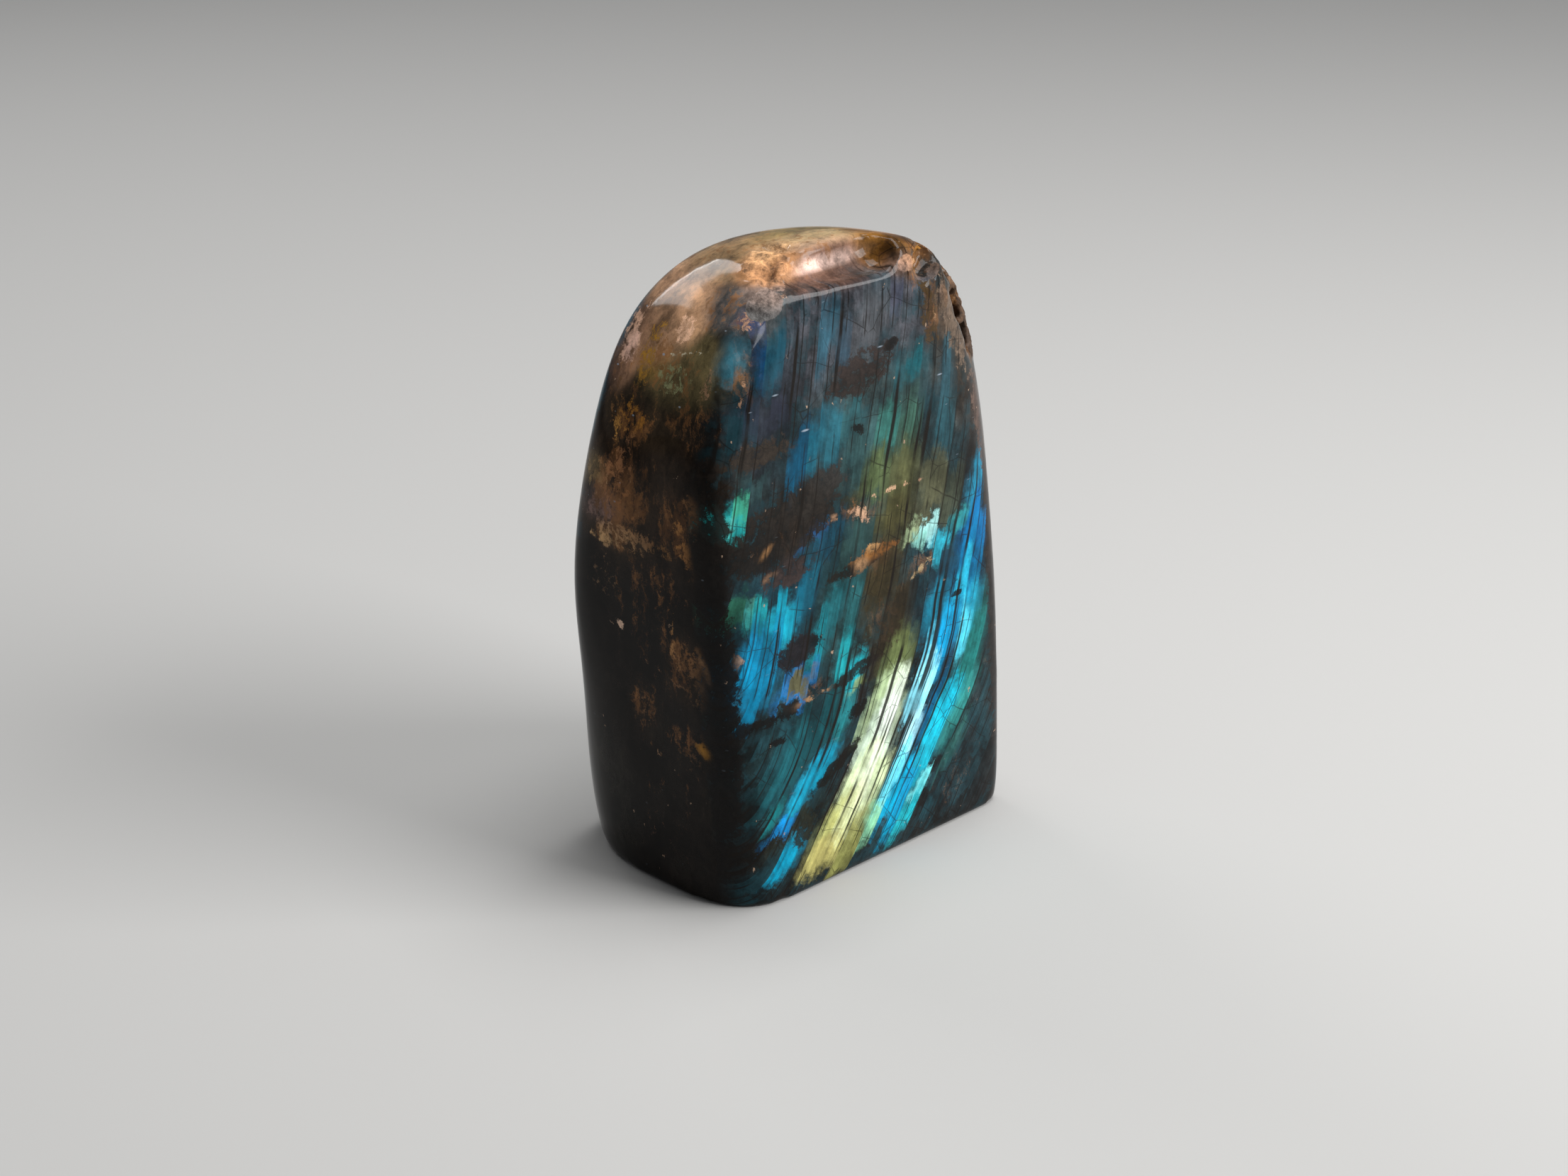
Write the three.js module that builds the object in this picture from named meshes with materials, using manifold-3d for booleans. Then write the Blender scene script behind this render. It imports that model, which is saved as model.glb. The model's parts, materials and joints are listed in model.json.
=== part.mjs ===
// A free-standing polished labradorite, one natural stone ground flat underneath.
//
// Millimetres, +Z up. The origin is the middle of the stone's outline on the resting face.
// The broad face that flashes blue looks towards -Y and the dark narrow face towards -X.
import * as THREE from 'three';
import { mergeVertices } from 'three/addons/utils/BufferGeometryUtils.js';
import Module from 'manifold-3d';

// Overall form: the stone was ground on a wheel, face by face, and then tumbled smooth.
// Each face is given by the way it looks (heading turns from +X towards +Y, lift is up from
// level) and by its reach, the distance from grindCentre to the face.
const grindCentre = new THREE.Vector3(0, -3.2, 56);
const edgeTightness = 16;
const groundFaces = [
  { face: 'broad front, low', heading: -90, lift: 2, reach: 18.8 },
  { face: 'broad front, high', heading: -93, lift: 7, reach: 19.7 },
  { face: 'back', heading: 90, lift: 4, reach: 24 },
  { face: 'narrow left', heading: 180, lift: -1, reach: 35.5 },
  { face: 'narrow right', heading: 0, lift: -1, reach: 36.7 },
  { face: 'underside', heading: 0, lift: -90, reach: 61.5 },
  { face: 'front left edge, low', heading: -135, lift: -4, reach: 38.3 },
  { face: 'front left edge, high', heading: -135, lift: 7, reach: 37.8 },
  { face: 'front right edge, high', heading: -45, lift: 9, reach: 43.2 },
  { face: 'pale rounding, right', heading: -63, lift: 9, reach: 31.1 },
  { face: 'back left edge, low', heading: 140, lift: -7, reach: 43.2 },
  { face: 'back left edge, high', heading: 140, lift: 14, reach: 44 },
  { face: 'left, high', heading: 175, lift: 22, reach: 42.2 },
  { face: 'left shoulder', heading: 165, lift: 45, reach: 52.8 },
  { face: 'front left shoulder', heading: -135, lift: 44, reach: 57 },
  { face: 'right, high', heading: 0, lift: 18, reach: 46.4 },
  { face: 'right shoulder', heading: -5, lift: 48, reach: 57.2 },
  { face: 'back shoulder', heading: 95, lift: 45, reach: 52 },
  { face: 'crown, left', heading: 178, lift: 72, reach: 58.3 },
  { face: 'crown, middle', heading: -60, lift: 84, reach: 60.3 },
  { face: 'crown, back', heading: 50, lift: 66, reach: 57.4 },
];

// The skin is drawn on a block this size, with its columns and rows set closer near the edges.
const blockSize = new THREE.Vector3(71, 48, 122);
const skinColumns = 24;
const skinDepthColumns = 16;
const skinRows = 38;
const edgeCrowding = 0.28;

// Slow waves left by hand grinding: their height and length, how quickly they follow each other
// along each axis, and where in its swing each starts.
const grindingWaves = {
  height: 0.35,
  length: 34,
  pace: { x: 1, y: 1.3, z: 0.8 },
  start: { x: 0.6, y: 2.1, z: 0.4 },
};

// The polished groove behind the sharp crest at the top of the broad face.
const groove = {
  centre: [-2.2, -14.3, 112.2],
  radius: 4.4,
  straight: 20,
  turn: 1,
  tilt: 2.5,
  capSteps: 9,
  stepsRound: 40,
};

// Broken places: each is a run of square-sided notches, as this stone splits along two
// cleavages that stand nearly square to each other.
const cleavageAngle = 86;
const brokenPlaces = [
  { centre: [-13.2, -7.6, 112.6], size: [6, 6, 4.8], turn: [24, -18, 38] },
  { centre: [-14.6, -11.6, 110.8], size: [3.4, 4, 4], turn: [-12, 30, 15] },
  { centre: [-20, -14.8, 108.2], size: [4.4, 2.6, 2.6], turn: [28, -30, 50] },
  { centre: [-8.6, -4.6, 113.9], size: [8, 6, 3.2], turn: [-8, 14, 25] },
  { centre: [13.2, -20.4, 110.4], size: [7.5, 6, 6.5], turn: [20, 25, -20] },
  { centre: [17.4, -18.8, 107.6], size: [6.5, 6.5, 6], turn: [-25, 15, 40] },
  { centre: [20.2, -14.4, 107.4], size: [6, 5, 5], turn: [10, -30, 20] },
  { centre: [21.4, -20.2, 101.4], size: [3.2, 3.4, 5], turn: [15, 10, 45] },
];

// A band of small pits runs down the right shoulder, where the rough skin was not ground away.
// From pit to pit the place, depth, width and turn change: a change is the most that it differs
// by, and its step is how far its swing moves on, in radians (turnStep in degrees).
const pitBand = {
  start: [26, -14.4, 104.4],
  end: [31, -15.2, 87.5],
  count: 12,
  width: 3.4,
  widthChange: 0.35,
  widthStep: 2.9,
  depth: 2.8,
  depthChange: 0.3,
  depthStep: 1.7,
  sway: 2.2,
  swayStep: 2.4,
  turnStep: 37,
  lean: 12,
  leanStep: 1,
  roll: 20,
  rollStep: 1.3,
};

// The block that takes away everything under the resting face.
const floorCutSize = 300;

const stoneColour = 0x4b4a45;
const stoneRoughness = 0.25;

const wasm = await Module();
wasm.setup();

function direction(heading, lift) {
  const turn = THREE.MathUtils.degToRad(heading);
  const rise = THREE.MathUtils.degToRad(lift);
  return new THREE.Vector3(
    Math.cos(turn) * Math.cos(rise),
    Math.sin(turn) * Math.cos(rise),
    Math.sin(rise),
  );
}

const facePlanes = groundFaces.map(({ heading, lift, reach }) => ({ normal: direction(heading, lift), reach }));

// How far the stone reaches along a unit direction: the nearest face stops it, and faces that
// are nearly as near take a little more away, which rounds the edge between them.
function stoneReach(ray) {
  let sum = 0;
  for (const { normal, reach } of facePlanes) {
    sum += Math.max(0, ray.dot(normal) / reach) ** edgeTightness;
  }
  return sum ** (-1 / edgeTightness);
}

function grindingWave(point) {
  const { height, length, pace, start } = grindingWaves;
  const along = (2 * Math.PI) / length;
  const swing = (axis) => point[axis] * along * pace[axis] + start[axis];
  return 0.5 * height * (Math.sin(swing('x')) + Math.sin(swing('y'))) * Math.cos(swing('z'));
}

// Moves a position between -1 and 1 nearer to the end that it is closer to.
function crowd(position) {
  return position + (edgeCrowding * Math.sin(position * Math.PI)) / Math.PI;
}

function onlyPositions(geometry) {
  const bare = geometry.clone();
  for (const name of Object.keys(bare.attributes)) {
    if (name !== 'position') {
      bare.deleteAttribute(name);
    }
  }
  return mergeVertices(bare);
}

function toSolid(geometry) {
  const merged = onlyPositions(geometry);
  const mesh = new wasm.Mesh({
    numProp: 3,
    vertProperties: new Float32Array(merged.attributes.position.array),
    triVerts: new Uint32Array(merged.index.array),
  });
  return new wasm.Manifold(mesh);
}

function toGeometry(solid) {
  const mesh = solid.getMesh();
  const geometry = new THREE.BufferGeometry();
  geometry.setAttribute('position', new THREE.BufferAttribute(mesh.vertProperties, 3));
  geometry.setIndex(new THREE.BufferAttribute(mesh.triVerts, 1));
  geometry.computeVertexNormals();
  return geometry;
}

function makeSkin() {
  const skin = onlyPositions(new THREE.BoxGeometry(2, 2, 2, skinColumns, skinDepthColumns, skinRows));
  const corners = skin.attributes.position;
  const ray = new THREE.Vector3();
  for (let i = 0; i < corners.count; i += 1) {
    ray.fromBufferAttribute(corners, i);
    ray.set(crowd(ray.x), crowd(ray.y), crowd(ray.z)).multiply(blockSize).normalize();
    const point = ray.clone().multiplyScalar(stoneReach(ray));
    point.addScaledVector(ray, grindingWave(point)).add(grindCentre);
    corners.setXYZ(i, point.x, point.y, point.z);
  }
  return toSolid(skin);
}

function makeFloorCut() {
  const floor = new THREE.BoxGeometry(floorCutSize, floorCutSize, floorCutSize);
  floor.translate(0, 0, -floorCutSize / 2);
  return toSolid(floor);
}

function makeGroove({ centre, radius, straight, turn, tilt, capSteps, stepsRound }) {
  const hollow = new THREE.CapsuleGeometry(radius, straight, capSteps, stepsRound);
  hollow.rotateZ(Math.PI / 2);
  hollow.rotateY(THREE.MathUtils.degToRad(tilt));
  hollow.rotateZ(THREE.MathUtils.degToRad(turn));
  hollow.translate(...centre);
  return toSolid(hollow);
}

// A block with its sides leaned to the cleavage angle.
function makeNotch({ centre, size, turn }) {
  const notch = new THREE.BoxGeometry(...size);
  const lean = 1 / Math.tan(THREE.MathUtils.degToRad(cleavageAngle));
  notch.applyMatrix4(new THREE.Matrix4().makeShear(0, 0, lean, 0, 0, 0));
  const [x, y, z] = turn.map(THREE.MathUtils.degToRad);
  notch.applyMatrix4(new THREE.Matrix4().makeRotationFromEuler(new THREE.Euler(x, y, z)));
  notch.translate(...centre);
  return toSolid(notch);
}

function makePits(band) {
  const from = new THREE.Vector3(...band.start);
  const to = new THREE.Vector3(...band.end);
  const pits = [];
  for (let i = 0; i < band.count; i += 1) {
    const centre = from.clone().lerp(to, i / (band.count - 1));
    centre.y += band.sway * Math.sin(i * band.swayStep);
    const depth = band.depth * (1 + band.depthChange * Math.sin(i * band.depthStep));
    const width = band.width * (1 + band.widthChange * Math.cos(i * band.widthStep));
    const lean = band.lean * Math.sin(i * band.leanStep);
    const roll = band.roll * Math.cos(i * band.rollStep);
    pits.push(makeNotch({
      centre: centre.toArray(),
      size: [depth, width, band.width],
      turn: [i * band.turnStep, lean, roll],
    }));
  }
  return pits;
}

function makeStone() {
  let solid = makeSkin().subtract(makeFloorCut()).subtract(makeGroove(groove));
  for (const notch of [...brokenPlaces.map(makeNotch), ...makePits(pitBand)]) {
    solid = solid.subtract(notch);
  }
  const geometry = toGeometry(solid);
  geometry.computeBoundingBox();
  const middle = geometry.boundingBox.getCenter(new THREE.Vector3());
  geometry.translate(-middle.x, -middle.y, 0);
  return geometry;
}

const stone = new THREE.Mesh(
  makeStone(),
  new THREE.MeshStandardMaterial({ color: stoneColour, roughness: stoneRoughness, metalness: 0 }),
);
stone.name = 'labradorite_stone';

const labradorite = new THREE.Group();
labradorite.add(stone);

export default labradorite;
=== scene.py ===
import json
import math
import bpy
import numpy as np
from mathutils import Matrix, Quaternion, Vector

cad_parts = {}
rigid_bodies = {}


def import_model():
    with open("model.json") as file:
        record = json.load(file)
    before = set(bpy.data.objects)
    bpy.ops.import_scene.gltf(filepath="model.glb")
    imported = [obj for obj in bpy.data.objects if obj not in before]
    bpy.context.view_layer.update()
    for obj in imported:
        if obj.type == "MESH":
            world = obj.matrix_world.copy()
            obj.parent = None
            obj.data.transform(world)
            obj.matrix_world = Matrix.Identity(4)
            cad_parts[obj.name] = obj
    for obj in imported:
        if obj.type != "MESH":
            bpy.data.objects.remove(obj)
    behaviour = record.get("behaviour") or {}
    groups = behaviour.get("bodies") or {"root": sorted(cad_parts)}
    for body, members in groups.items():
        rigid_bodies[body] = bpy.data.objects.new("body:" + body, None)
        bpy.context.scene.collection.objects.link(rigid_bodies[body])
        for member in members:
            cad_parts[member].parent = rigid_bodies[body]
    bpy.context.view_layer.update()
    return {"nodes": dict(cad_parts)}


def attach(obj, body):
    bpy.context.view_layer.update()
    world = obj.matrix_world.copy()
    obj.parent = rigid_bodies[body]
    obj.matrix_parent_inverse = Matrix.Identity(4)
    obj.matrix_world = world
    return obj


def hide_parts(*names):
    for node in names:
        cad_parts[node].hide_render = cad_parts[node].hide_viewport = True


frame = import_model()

mm = 0.001


def linearColour(code, alpha=1.0):
    # a hex colour as the eye names it, turned to the linear light that Blender mixes
    parts = [int(code[i:i + 2], 16) / 255 for i in (1, 3, 5)]
    return [p / 12.92 if p <= 0.04045 else ((p + 0.055) / 1.055) ** 2.4 for p in parts] + [alpha]


def addNode(tree, kind, settings=None, inputs=None):
    # one node with its settings; an input is a value, or the node or socket that feeds it.
    # A Mix takes its share at 0 and its two sides at 2 and 3 for values, 6 and 7 for colours;
    # a MapRange takes a value at 0, the range it comes in at 1 and 2 and the range it leaves in at 3 and 4
    node = tree.nodes.new("ShaderNode" + kind)
    for name, value in (settings or {}).items():
        setattr(node, name, value)
    for name, value in (inputs or {}).items():
        if isinstance(value, bpy.types.Node):
            value = next(socket for socket in value.outputs if socket.enabled)
        if isinstance(value, bpy.types.NodeSocket):
            tree.links.new(value, node.inputs[name])
        else:
            node.inputs[name].default_value = value
    return node


# The stone's own form: a polished, hand-ground block with broken places along its top and its right edge
stoneForm = {
    "voxel": 0.66 * mm,
    "polishFactor": 0.5,
    "polishPasses": 16,
    "grindScale": 26 * mm,
    "grindHeight": 0.16 * mm,
    "chipScale": 2.4 * mm,
    "chipHeight": 0.6 * mm,
    "grainScale": 0.9 * mm,
    "grainHeight": 0.3 * mm,
    "floorKept": 2.5 * mm,
    "breakRim": 1.25,
    "breakFade": 0.35,
}
# where the skin is broken rather than polished: centre and reach in mm, how rough from 0 to 1
brokenPlaces = [
    ((-12.4, -7.4, 111.4), (3.6, 3.8, 3), 1.0),
    ((-15, -11.6, 110), (2.2, 2.8, 2.6), 0.9),
    ((-9, -4.4, 112.8), (4.4, 3, 1.8), 0.6),
    ((-19.6, -14.4, 107.6), (3.4, 2.6, 3), 0.9),
    ((13.4, -19.4, 108.6), (3.6, 3.2, 2.2), 0.8),
    ((18.4, -16.6, 107.2), (4.4, 3.4, 3), 0.7),
    ((22, -19, 101.4), (2, 2, 3.4), 0.5),
    ((27.5, -15, 101), (2, 2.4, 4), 0.7),
    ((30.2, -14.6, 95), (1.8, 2.4, 4), 0.8),
    ((31, -14.6, 88.5), (1.5, 2, 3.6), 0.7),
]


def makeStoneShape():
    bpy.ops.object.select_all(action="DESELECT")
    source = frame["nodes"]["labradorite_stone"]
    source.select_set(True)
    bpy.context.view_layer.objects.active = source
    bpy.ops.object.duplicate()
    stone = bpy.context.view_layer.objects.active
    stone.name = "labradoriteStone"
    stone.data.name = "labradoriteStone"
    bpy.ops.object.parent_clear(type="CLEAR_KEEP_TRANSFORM")
    for key in list(stone.keys()):
        if key.startswith("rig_"):
            del stone[key]
    bpy.ops.object.mode_set(mode="EDIT")
    bpy.ops.mesh.select_all(action="SELECT")
    bpy.ops.mesh.remove_doubles(threshold=0.00001)
    bpy.ops.mesh.customdata_custom_splitnormals_clear()
    bpy.ops.object.mode_set(mode="OBJECT")
    stone.data.materials.clear()
    return stone


def applyModifier(stone, name, kind, settings):
    modifier = stone.modifiers.new(name, kind)
    for key, value in settings.items():
        setattr(modifier, key, value)
    bpy.ops.object.modifier_apply(modifier=name)


def meshPlaces(stone):
    places = np.empty(len(stone.data.vertices) * 3)
    stone.data.vertices.foreach_get("co", places)
    return places.reshape(-1, 3)


def brokenShare(places):
    # 1 inside a broken place, falling to 0 just outside it
    share = np.zeros(len(places))
    for centre, reach, strength in brokenPlaces:
        away = np.linalg.norm((places / mm - centre) / reach, axis=1)
        inside = np.clip((stoneForm["breakRim"] - away) / stoneForm["breakFade"], 0, 1)
        share = np.maximum(share, strength * inside)
    return share


def addGroup(stone, name, weights):
    group = stone.vertex_groups.new(name=name)
    steps = 20
    level = np.round(weights * steps).astype(int)
    for step in range(1, steps + 1):
        members = np.nonzero(level == step)[0].tolist()
        if members:
            group.add(members, step / steps, "REPLACE")


def finishStoneShape(stone):
    form = stoneForm
    applyModifier(stone, "fineSkin", "REMESH", {
        "mode": "VOXEL", "voxel_size": form["voxel"], "use_smooth_shade": True})
    places = meshPlaces(stone)
    broken = brokenShare(places)
    clearOfFloor = np.clip(places[:, 2] / form["floorKept"] - 0.4, 0, 1)
    addGroup(stone, "polishedSkin", 1 - np.clip(broken * 2, 0, 1))
    addGroup(stone, "brokenSkin", broken)
    addGroup(stone, "groundSkin", clearOfFloor * (1 - broken))
    applyModifier(stone, "polish", "SMOOTH", {
        "factor": form["polishFactor"], "iterations": form["polishPasses"], "vertex_group": "polishedSkin"})
    grind = bpy.data.textures.new("handGrinding", "CLOUDS")
    grind.noise_scale = form["grindScale"]
    grind.noise_depth = 0
    chips = bpy.data.textures.new("chippedSteps", "VORONOI")
    chips.noise_scale = form["chipScale"]
    chips.distance_metric = "MANHATTAN"
    chips.noise_intensity = 1.3
    grain = bpy.data.textures.new("brokenGrain", "CLOUDS")
    grain.noise_scale = form["grainScale"]
    grain.noise_depth = 2
    for name, texture, height, group in (
        ("grindingWave", grind, form["grindHeight"], "groundSkin"),
        ("brokenSteps", chips, form["chipHeight"], "brokenSkin"),
        ("brokenCrumbs", grain, form["grainHeight"], "brokenSkin"),
    ):
        applyModifier(stone, name, "DISPLACE", {
            "texture": texture, "texture_coords": "LOCAL", "direction": "NORMAL",
            "mid_level": 0.5 if group == "groundSkin" else 0.8, "strength": height,
            "vertex_group": group})
    share = stone.data.attributes.new("broken", "FLOAT", "POINT")
    share.data.foreach_set("value", broken.astype(np.float32))
    bpy.ops.object.shade_smooth()
    stone.data.calc_loop_triangles()
    print("stone: triangles", len(stone.data.loop_triangles))


# Body colour of the stone, area by area, with a painted reflection (a grey haze of light over the upper front)
# and a painted highlight stripe in the groove: centre and reach in mm, colour, strength, how soft the rim is
bodyColourOfStone = "#15110e"
bodyAndSheenZones = [
    ((0, -22, 60), (34, 8, 70), "#1d1c1b", 0.9, 0.6),
    # painted reflection: these two pale grey ovals stand for a haze of light reflected on the upper front
    ((0, -19, 98), (30, 8, 15), "#45474d", 0.95, 0.7),
    ((1, -19, 103), (14, 8, 8), "#54555b", 0.9, 0.8),
    ((-23, -19, 91), (9, 7, 13), "#20262e", 0.8, 0.9),
    ((5, -20, 82), (20, 7, 12), "#33403f", 0.9, 0.8),
    ((18, -19, 80), (7, 7, 14), "#32454a", 0.9, 0.8),
    ((3, -21, 68), (12, 7, 10), "#3f422e", 0.9, 0.8),
    ((14, -21, 66), (7, 7, 7), "#4c4d3a", 0.9, 0.6),
    ((-14, -20, 80), (10, 7, 8), "#26363b", 0.8, 0.9),
    ((-20, -21, 70), (14, 7, 7), "#1c1815", 0.9, 0.7),
    ((-10, -21, 64), (10, 7, 5), "#1b3038", 0.8, 0.9),
    ((-8, -22, 50), (9, 7, 11), "#203839", 0.9, 0.8),
    ((-24, -22, 50), (9, 6, 14), "#123844", 0.8, 0.9),
    ((3, -22, 48), (7, 7, 12), "#39311f", 0.95, 0.6),
    ((16, -22, 50), (8, 7, 9), "#1b3038", 0.9, 0.8),
    ((27, -22, 34), (6, 7, 24), "#1c2628", 0.85, 0.8),
    ((-20, -23, 27), (12, 7, 12), "#12282b", 0.9, 0.8),
    ((-18, -23, 12), (10, 7, 8), "#1d2119", 0.8, 0.9),
    ((22, -23, 12), (10, 7, 12), "#1a2022", 0.9, 0.8),
    ((-36, 0, 78), (9, 24, 17), "#2b2119", 0.9, 0.8),
    ((-36, 6, 72), (7, 9, 9), "#3e2f22", 0.8, 1.0),
    ((-36, 13, 74.5), (6, 4.5, 3.4), "#6a5a3e", 0.7, 0.9),
    ((-36, 10, 69.5), (6, 6, 3.6), "#574540", 0.85, 0.7),
    ((-36, 5, 65), (6, 6.5, 2.6), "#4a3928", 0.7, 0.8),
    ((-35, -9, 71), (5, 3.4, 6), "#443224", 0.7, 0.8),
    ((-34, 3, 87), (8, 13, 5), "#33281b", 0.85, 0.8),
    ((-30, -4, 96.6), (10, 12, 6.6), "#5d5236", 0.95, 0.7),
    ((-29, 3, 97), (8, 4, 4), "#80601c", 0.7, 0.9),
    ((-24, 8, 104), (14, 13, 10), "#b08868", 0.95, 0.6),
    ((-30, 11, 98), (8, 5, 8), "#a47c60", 0.9, 0.6),
    ((-27, 15, 98), (9, 6, 12), "#3a2a22", 0.85, 0.6),
    ((-23, -3, 103), (6, 4, 4), "#c79a74", 0.7, 0.8),
    ((0, 2, 115), (30, 22, 8), "#8f7352", 0.95, 0.5),
    ((-4, -7, 114), (11, 6, 4), "#c2a184", 0.8, 0.9),
    ((6, 0, 115), (13, 9, 5), "#7c6a3c", 0.85, 0.8),
    ((2, -4, 114), (9, 2.6, 3), "#a8906a", 0.7, 0.9),
    ((-2, -13, 110), (16, 5.5, 4), "#6e5144", 0.95, 0.6),
    # painted highlight: a pale stripe of light along the groove's far wall
    ((-1, -11.4, 110.6), (12, 1.1, 1.3), "#e0c0b2", 0.8, 1.0),
    ((15, -10, 110), (8, 9, 6), "#8a5c20", 0.9, 0.7),
    ((11.4, -17, 108.8), (4, 3, 1.8), "#b89484", 0.4, 0.9),
    ((-20.5, -11, 105.6), (6, 7, 5), "#565452", 0.9, 0.8),
    ((-17, -12, 108), (4, 4, 3), "#7d6a60", 0.8, 0.9),
    ((-13, -8, 112), (6.5, 5.6, 4.6), "#a47650", 0.95, 0.6),
    ((-9, -5, 113), (5, 3, 3), "#c09468", 0.8, 0.9),
    ((30, -14, 88), (11, 8, 22), "#43352c", 0.9, 0.7),
    ((22, -20, 92), (5, 6, 13), "#544638", 0.8, 0.9),
    ((27, -15, 101), (7, 8, 8), "#5d4634", 0.8, 0.8),
    ((34, -14, 68), (6, 8, 14), "#54423a", 0.8, 0.8),
    ((36, 2, 84), (8, 22, 22), "#3f3228", 0.8, 0.9),
    ((36, 0, 30), (8, 24, 36), "#1f1b19", 0.9, 0.9),
    ((-36, 13, 12), (7, 10, 15), "#25231f", 0.85, 0.9),
    ((-36, -11, 44), (5, 5, 7), "#2c2118", 0.7, 0.9),
    ((-36, -1, 33), (5, 4, 6), "#221b15", 0.6, 0.9),
]

# rusty, coppery threads of mineral in the stone: centre and reach in mm, how thick they lie from 0 to 1
rustZones = [
    ((-36, 5, 73), (9, 10, 9), 0.66), ((-36, 5, 65), (8, 8, 3.4), 0.62), ((-34, -9, 70), (7, 6, 7), 0.6),
    ((-35, 4, 85), (8, 6, 4), 0.7), ((-35, -10, 45), (6, 5, 8), 0.5), ((-36, -1, 34), (6, 5, 7), 0.36),
    ((-36, -10, 31), (6, 5, 3.4), 0.5), ((-33, 2, 96), (11, 14, 9), 0.5), ((-34, -10, 90), (8, 7, 8), 0.45),
    ((-36, -4, 54), (8, 12, 14), 0.36), ((-36, -6, 22), (8, 8, 14), 0.24), ((-10, 0, 114), (34, 20, 9), 0.4),
    ((17, -11, 108), (8, 9, 6), 0.85), ((18, -19, 100), (2.6, 4, 7), 0.8), ((30, -14, 92), (8, 6, 16), 0.7),
    ((34, -10, 68), (6, 8, 16), 0.5), ((-20, -8, 105), (8, 9, 5), 0.5), ((-21, -22, 67), (12, 5, 5), 0.42),
    ((-3, -22, 68), (8, 5, 3), 0.5), ((1, -22, 59), (6, 5, 3), 0.7), ((12, -22, 54), (5, 5, 2.4), 0.6),
    ((-17, -22, 39), (6, 5, 3), 0.45), ((3, -22, 48), (6, 5, 12), 0.4), ((-1, -22, 93), (9, 5, 4), 0.34),
    ((-26, -21, 84), (8, 5, 4), 0.4), ((-27, -18, 97), (4, 6, 9), 0.5), ((20, -22, 10), (10, 5, 8), 0.26),
    ((34, -4, 34), (7, 20, 34), 0.3), ((0, 22, 74), (34, 7, 30), 0.34), ((0, 23, 26), (34, 6, 24), 0.26),
]


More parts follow.
